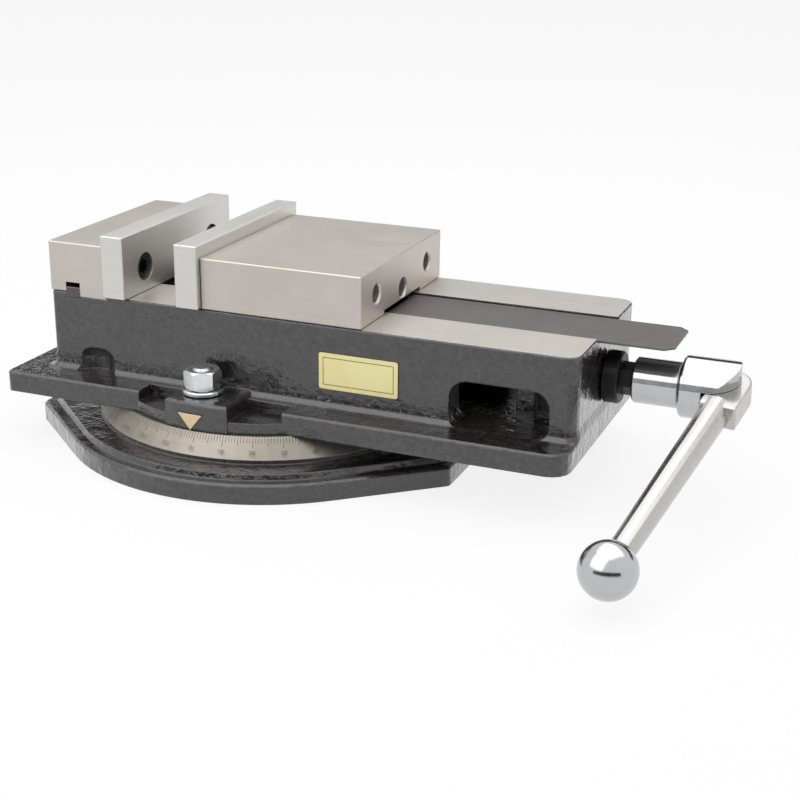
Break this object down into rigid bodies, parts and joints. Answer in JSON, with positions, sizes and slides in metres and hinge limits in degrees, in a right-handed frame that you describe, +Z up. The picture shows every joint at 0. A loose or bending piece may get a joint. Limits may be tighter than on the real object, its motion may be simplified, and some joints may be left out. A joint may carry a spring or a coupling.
{
  "type": "milling machine vise",
  "caption": "Milling machine vise with a swivel base, a sliding jaw on a lead screw and a folding crank handle that pulls off.",
  "frame": {"origin": "on the swivel axis, at the underside of the base", "axes": "+X from the fixed jaw to the handle along the screw, +Y to the rear side, +Z up"},
  "size_m": [0.5016, 0.3534, 0.148],
  "materials": {
    "black_paint": "gloss black paint over rough casting",
    "ground_steel": "surface ground",
    "plated_steel": "bright zinc plate",
    "black_steel": "black oxide",
    "chrome": "polished chrome plate",
    "satin_chrome": "satin chrome plate",
    "guard_sheet": "rolled sheet",
    "cast_iron": "machined ductile iron",
    "bronze": "turned bronze",
    "brass": "pale brass sheet"
  },
  "bodies": {
    "base_unit": {"swivel_base": "black_paint", "pivot_pin": "ground_steel"},
    "body_unit": {"vise_body": "black_paint", "fixed_jaw": "ground_steel", "fixed_jaw_plate": "ground_steel", "fixed_plate_screw_front": "black_steel", "fixed_plate_screw_rear": "black_steel", "fixed_jaw_bolt_front": "black_steel", "fixed_jaw_bolt_rear": "black_steel", "fixed_jaw_key": "ground_steel", "t_bolt_front": "plated_steel", "t_bolt_rear": "plated_steel", "washer_front": "plated_steel", "washer_rear": "plated_steel", "name_plate": "brass", "angle_pointer": "brass", "screw_bush": "bronze", "thrust_washer_outer": "ground_steel", "thrust_cage": "bronze"},
    "clamp_nut_front": {"lock_nut_front": "plated_steel"},
    "clamp_nut_rear": {"lock_nut_rear": "plated_steel"},
    "screw_unit": {"lead_screw": "black_steel", "retaining_collar": "black_steel", "thrust_washer_inner": "ground_steel"},
    "jaw_unit": {"movable_jaw": "ground_steel", "movable_jaw_plate": "ground_steel", "movable_plate_screw_front": "black_steel", "movable_plate_screw_rear": "black_steel", "jaw_nut": "cast_iron", "half_ball": "ground_steel", "adjusting_screw": "black_steel"},
    "guard_unit": {"chip_guard": "guard_sheet"},
    "handle_unit": {"handle_hub": "chrome", "fork_pin": "plated_steel"},
    "arm_unit": {"handle_arm": "satin_chrome", "ball_knob": "chrome"}
  },
  "joints": [
    {"name": "body_swivel", "type": "hinge", "parent": "base_unit", "child": "body_unit", "pos_m": [0, 0, 0.0335], "axis": [0, 0, 1], "continuous": true},
    {"name": "clamp_nut_front_turn", "type": "hinge", "parent": "body_unit", "child": "clamp_nut_front", "pos_m": [-0.0077, -0.088, 0.0556], "axis": [0, 0, 1], "range_deg": [0, 90]},
    {"name": "clamp_nut_rear_turn", "type": "hinge", "parent": "body_unit", "child": "clamp_nut_rear", "pos_m": [-0.0077, 0.088, 0.0556], "axis": [0, 0, 1], "range_deg": [0, 90]},
    {"name": "screw_spin", "type": "hinge", "parent": "body_unit", "child": "screw_unit", "pos_m": [0.2456, 0, 0.0715], "axis": [1, 0, 0], "range_deg": [-2840, 6040]},
    {"name": "jaw_slide", "type": "slide", "parent": "body_unit", "child": "jaw_unit", "axis": [1, 0, 0], "range_m": [-0.0395, 0.084]},
    {"name": "guard_slide", "type": "slide", "parent": "body_unit", "child": "guard_unit", "axis": [1, 0, 0], "range_m": [0, 0.01]},
    {"name": "handle_pull", "type": "slide", "parent": "screw_unit", "child": "handle_unit", "axis": [1, 0, 0], "range_m": [0, 0.026]},
    {"name": "handle_fold", "type": "hinge", "parent": "handle_unit", "child": "arm_unit", "pos_m": [0.3262, 0, 0.0715], "axis": [0, -0.2368, 0.9715], "range_deg": [0, 180]}
  ],
  "couplings": [
    {"joint": "jaw_slide", "follows": "screw_spin", "m_per_rad": 0.00079577}
  ]
}
